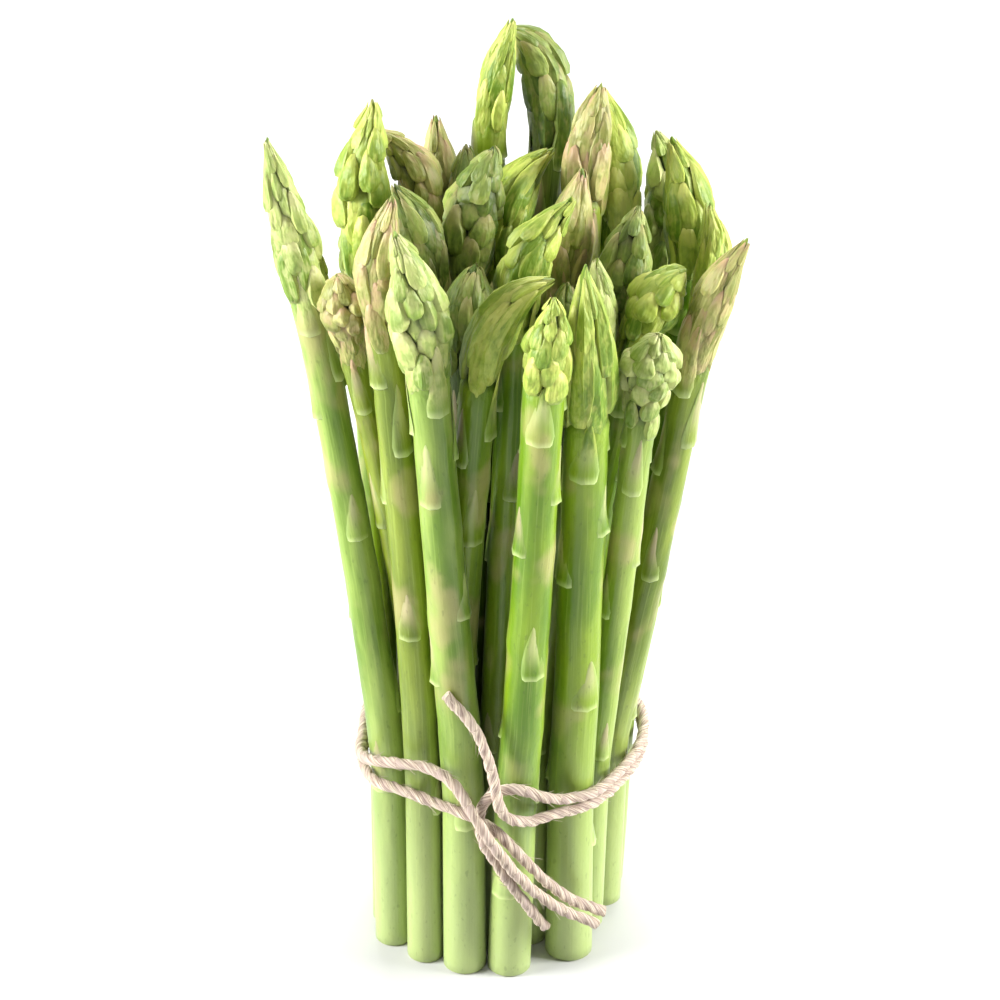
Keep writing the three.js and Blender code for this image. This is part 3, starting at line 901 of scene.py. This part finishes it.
# %% Routes of the twine, in millimetres
ROUTES = {
    "twine_1": (
        (-14.5, -41, 101), (-11, -41.5, 97), (-6.5, -42.5, 91), (-3.5, -43.8, 84),
        (-1.2, -45.2, 76), (-0.4, -47.3, 68.6), (2.8, -46.2, 62), (9, -41.9, 58.4),
        (16.5, -37.2, 58), (24.5, -32.8, 57.2), (29.6, -27.5, 56.3), (35.4, -15, 54),
        (40.8, -2, 51.8), (43.4, 10, 51.6), (41.8, 22, 53), (35.4, 32.4, 55), (25, 38.8, 56.5),
        (12, 41.2, 57.5), (-2, 41.6, 58.3), (-15, 39, 59.2), (-27, 31.5, 60.2), (-35, 20, 60.8),
        (-38.6, 7, 60.8), (-39.3, -7, 60.5), (-38.8, -19, 60.8), (-35, -27.3, 61.8),
        (-27, -31.9, 62.3), (-19, -35.7, 61.2), (-11.5, -39.2, 60.2), (-5.5, -41.8, 59.4),
        (-0.5, -43.4, 56.4), (5, -44.2, 50), (12, -42.2, 39.5), (19, -38.8, 30),
        (25, -36, 24.4), (30.5, -34, 21)),
    "twine_2": (
        (13.5, -40, 20), (10.5, -42.5, 26), (6, -45.3, 35), (1, -47, 45), (-3.2, -47, 52.5),
        (-5.8, -46, 59.5), (-5.1, -44.8, 65.2), (-1.4, -43.2, 70), (4.6, -42.8, 71),
        (10.4, -41.4, 67.6), (16.5, -37.3, 62.8), (24.5, -32.8, 60.8), (29.6, -27.5, 59.9),
        (35.4, -15, 57.6), (40.8, -2, 55.4), (43.4, 10, 55.2), (41.8, 22, 56.6),
        (35.4, 32.4, 58.6), (25, 38.8, 60.1), (12, 41.2, 61.1), (-2, 41.6, 61.9),
        (-15, 39, 62.8), (-27, 31.5, 63.8), (-35, 20, 64.4), (-38.6, 7, 64.4),
        (-39.3, -7, 64.2), (-40, -19, 66.5), (-36.6, -28.4, 70), (-28, -34, 73.4),
        (-18.5, -38.2, 74.6), (-12, -43.2, 72.4), (-8.2, -47.4, 67.5), (-4.2, -50, 61),
        (0, -50.2, 54), (3.6, -48.6, 47), (9.6, -45, 36.8), (16.6, -41.4, 28),
        (23, -38.6, 22.4), (28.5, -37, 18.6)),
}
print("the routes have", [len(route) for route in ROUTES.values()], "points")

# %% [markdown]
# ## One turn of the twist
#
# The twine is three plies wound round each other. Three separate strands would cut into each
# other in the tight bends of the knot. One tube with three grooves can't, and looks the same at
# this size. A ring of points is drawn in at three places, extruded by the length of one turn,
# cut into short rings and twisted by a whole turn, so that copies meet end to end.

# %% Modelling a turn
THICK = 3.2 * MM
PLIES = 3
PLY_SIDES = 4
GROOVE = 0.8                  # half-width in a groove, as a share of the half-width on a ply
RINGS_A_TURN = 18


def one_turn(name, turn):
    """A whole turn of straight twine, which stands on the origin and is open at both ends."""
    bpy.ops.mesh.primitive_circle_add(vertices=PLIES * PLY_SIDES, radius=THICK / 2)
    cord = bpy.context.object
    cord.name = name
    bpy.ops.object.mode_set(mode="EDIT")
    for ply in range(PLIES):
        angle = math.pi / 2 + ply * 2 * math.pi / PLIES
        groove = Vector((math.cos(angle), math.sin(angle), 0)) * THICK / 2
        choose(cord, lambda co: (co - groove).length < TINY)
        bpy.ops.transform.resize(value=(GROOVE, GROOVE, 1), center_override=(0, 0, 0))
    bpy.ops.mesh.select_all(action="SELECT")
    bpy.ops.mesh.extrude_region_move(TRANSFORM_OT_translate={"value": (0, 0, turn)})
    cut_into_rings(cord, RINGS_A_TURN - 1)
    bpy.ops.object.mode_set(mode="OBJECT")

    place = places(cord)
    note_straight_place(cord)
    note(cord, "crown", np.hypot(place[:, 0], place[:, 1]) / (THICK / 2))
    twist = cord.modifiers.new("twist", "SIMPLE_DEFORM")
    twist.deform_method = "TWIST"
    twist.deform_axis = "Z"
    twist.angle = 2 * math.pi
    finish_modifier(cord, twist)
    return cord


# %% [markdown]
# ## Straight twine
#
# An array repeats the turn to the full length and merges the rings that meet. The twist is
# fitted a little, so that a whole number of turns fills the length. Then both ends are closed,
# and a cloud texture pushes the surface in and out by less than half a millimetre each way,
# since hand-laid twine is never quite even.

# %% Repeating the turn
TURN = 13 * MM                # length of one whole turn, more or less
UNEVEN_EVERY = 4 * MM
UNEVEN_BY = 0.9 * MM
clouds = bpy.data.textures.new("lumps", "CLOUDS")
clouds.noise_scale = UNEVEN_EVERY


def straight_twine(name, length):
    """Straight twine of a length, which stands on the origin."""
    turns = round(length / TURN)
    turn = length / turns
    cord = one_turn(name, turn)
    repeat = cord.modifiers.new("repeat", "ARRAY")
    repeat.count = turns
    repeat.use_relative_offset = False
    repeat.use_constant_offset = True
    repeat.constant_offset_displace = (0, 0, turn)
    repeat.use_merge_vertices = True
    repeat.merge_threshold = TINY / 2
    finish_modifier(cord, repeat)

    bpy.ops.object.mode_set(mode="EDIT")
    for end in (0, length):
        choose(cord, lambda co: abs(co.z - end) < TINY)
        bpy.ops.mesh.edge_face_add()
    bpy.ops.mesh.select_all(action="SELECT")
    bpy.ops.mesh.normals_make_consistent(inside=False)
    bpy.ops.object.mode_set(mode="OBJECT")
    uneven = cord.modifiers.new("uneven", "DISPLACE")
    uneven.texture = clouds
    uneven.strength = UNEVEN_BY
    finish_modifier(cord, uneven)
    return cord


# %% [markdown]
# ## Loose fibres
#
# Short fibres stick out of natural twine all over and soften its outline. A hair system would
# give thousands, but hair is no mesh and would be lost in an export. A few hundred thin cones do
# as well. Each starts inside the twine and leaves it at a slant.

# %% Modelling a loose fibre
HAIRS = 300
HAIR_LENGTHS = (2.5, 5.0)     # in millimetres
HAIR_SLANTS = (8, 32)         # in degrees from the way the twine runs
HAIR_FOOT = 0.1 * MM          # half-widths of its two ends
HAIR_TIP = 0.03 * MM
HAIR_STARTS = 0.42 * THICK    # distance from the twine's middle


def loose_fibre(chance, length):
    """A thin hair that starts somewhere in straight twine of this length."""
    reach = chance.uniform(*HAIR_LENGTHS) * MM
    bpy.ops.mesh.primitive_cone_add(
        vertices=3, radius1=HAIR_FOOT, radius2=HAIR_TIP, depth=reach, location=(0, 0, reach / 2))
    hair = bpy.context.object
    bpy.ops.object.transform_apply(location=True, rotation=False, scale=False)
    slanting = math.radians(chance.uniform(*HAIR_SLANTS)) * chance.choice((-1, 1))
    side = Matrix.Rotation(chance.uniform(0, 2 * math.pi), 4, "Z")
    foot = Matrix.Translation((HAIR_STARTS, 0, chance.uniform(0, length - reach)))
    hair.data.transform(side @ foot @ Matrix.Rotation(slanting, 4, "Y"))
    note(hair, "crown", 1)
    return hair


# %% [markdown]
# ## Laying the twine
#
# The same bending as before lays each length along its route. The route keeps one thickness all
# along, so the guide's radius is 1 at every point.

# %% Two lengths of twine
TWINE_SEED = 900
ROUND_PLY = math.radians(60)        # edges that turn by less than this are smoothed over

twines = {}
for number, (node, route) in enumerate(ROUTES.items()):
    chance = random.Random(TWINE_SEED + number)
    path = guide([Vector(point) * MM for point in route], [1.0] * len(route))
    centre_line = [tuple(v.co) for v in bpy.data.meshes.new_from_object(path).vertices]
    length = path.data.splines[0].calc_length()
    cord = straight_twine(node.replace("twine", "tie"), length)
    join(cord, [loose_fibre(chance, length) for _ in range(HAIRS)])
    lay_along(cord, path)
    only(cord)
    bpy.ops.object.shade_smooth_by_angle(angle=ROUND_PLY)
    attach(cord, "root")
    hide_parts(node)
    twines[node] = cord
    print(cord.name, "is", round(length / MM, 1), "mm long, with", len(cord.data.polygons), "faces")

# %% [markdown]
# ## The twine's fibres
#
# Natural twine is beige with a touch of grey-pink; shade is painted into the grooves between the
# plies. Each fibre could be modelled, but at this size they are a matter of colour and relief.
# They are noise drawn out along the straight twine, so after the twist they wind with it.

# %% Colour of the twine
FIBRE_DARK = colour(150, 130, 116)
FIBRE_LIGHT = colour(222, 208, 186)
FIBRE_PINKISH = colour(172, 152, 146)
GROOVE_SHADE = colour(118, 94, 92)

fibres = Recipe("twine_fibres")
place = fibres.noted("straight_place", "Vector")
strands = fibres.noise(place, (3000, 3000, 200), detail=3)
stretches = fibres.noise(place, (300, 300, 90))
fibre_colour = fibres.mix(fibres.ramp(strands, none=0.38, full=0.62), FIBRE_DARK, FIBRE_LIGHT)
pinkish = fibres.ramp(stretches, none=0.4, full=0.65, most=0.6)
fibre_colour = fibres.mix(pinkish, fibre_colour, FIBRE_PINKISH)
# painted shade in the grooves between the plies
painted_groove_shade = fibres.ramp(fibres.noted("crown"), none=0.98, full=0.8, most=0.45)
fibres.shine(
    Base_Color=fibres.mix(painted_groove_shade, fibre_colour, GROOVE_SHADE),
    Roughness=0.85, Specular_IOR_Level=0.2, Sheen_Weight=0.3, Sheen_Tint=colour(240, 228, 208),
    Normal=fibres.bump(strands, strength=0.6, distance=0.3 * MM))
for cord in twines.values():
    cord.data.materials.append(fibres.material)
print("the twine is made of", len(fibres.tree.nodes), "nodes")

# %% [markdown]
# ## Floor and background
#
# The bundle stands on a plain pale floor. A curved backdrop is the usual way to hide the edge of
# a floor. Here the world does it: it goes on as white from the floor's edge up to the horizon,
# and fades to dark above that, so that no light from the sky fills the gaps between the stalks.

# %% Floor and background
FLOOR_SIZE = 2
FLOOR_GREY = 0.6
FADED_AT = 0.14               # sine of the angle over the horizon where the white has faded
SKY_LIGHT = 0.06              # brightness of the world above that, against 1 for white

scene = bpy.context.scene
scene.view_settings.view_transform = "Standard"
bpy.ops.mesh.primitive_plane_add(size=FLOOR_SIZE)
floor = bpy.context.object
floor.name = "floor"
matt = Recipe("floor_white")
matt.shine(Base_Color=(FLOOR_GREY, FLOOR_GREY, FLOOR_GREY, 1), Roughness=0.9,
           Specular_IOR_Level=0.1)
floor.data.materials.append(matt.material)

world = bpy.data.worlds.new("studio")
world.use_nodes = True
tree = world.node_tree
direction = tree.nodes.new("ShaderNodeTexCoord")
split = tree.nodes.new("ShaderNodeSeparateXYZ")
fade = tree.nodes.new("ShaderNodeMapRange")
fade.inputs["From Max"].default_value = FADED_AT
fade.inputs["To Min"].default_value = 1.0
fade.inputs["To Max"].default_value = SKY_LIGHT
tree.links.new(direction.outputs["Generated"], split.inputs[0])
tree.links.new(split.outputs["Z"], fade.inputs["Value"])
tree.links.new(fade.outputs[0], tree.nodes["Background"].inputs["Strength"])
tree.nodes["Background"].inputs["Color"].default_value = (1, 1, 1, 1)
scene.world = world
print("floor of", FLOOR_SIZE, "m")

# %% [markdown]
# ## Lamps
#
# One big lamp in front would light everything evenly and flatten it. Instead a soft lamp stands
# at each side, so each stalk is pale along both sides and deeper green down its front, and the
# gaps between the stalks stay dark. One behind and a weak one overhead light the heads.

# %% Lamps
def softbox(name, place, size, power):
    """A square lamp that faces the bundle."""
    lamp = bpy.data.lights.new(name, "AREA")
    lamp.size = size
    lamp.energy = power
    light = bpy.data.objects.new(name, lamp)
    bpy.context.collection.objects.link(light)
    light.location = place
    light.rotation_euler = (TARGET - Vector(place)).to_track_quat("-Z", "Y").to_euler()
    print("lamp", name, "is", round((TARGET - Vector(place)).length, 2), "m away, at", power, "W")


softbox("left", place=(-1.0, -0.2, 0.5), size=0.5, power=27)
softbox("right", place=(1.0, -0.1, 0.5), size=0.5, power=24)
softbox("top", place=(0.0, -0.35, 1.2), size=0.6, power=3)
softbox("back", place=(0.1, 0.8, 1.0), size=0.7, power=15)
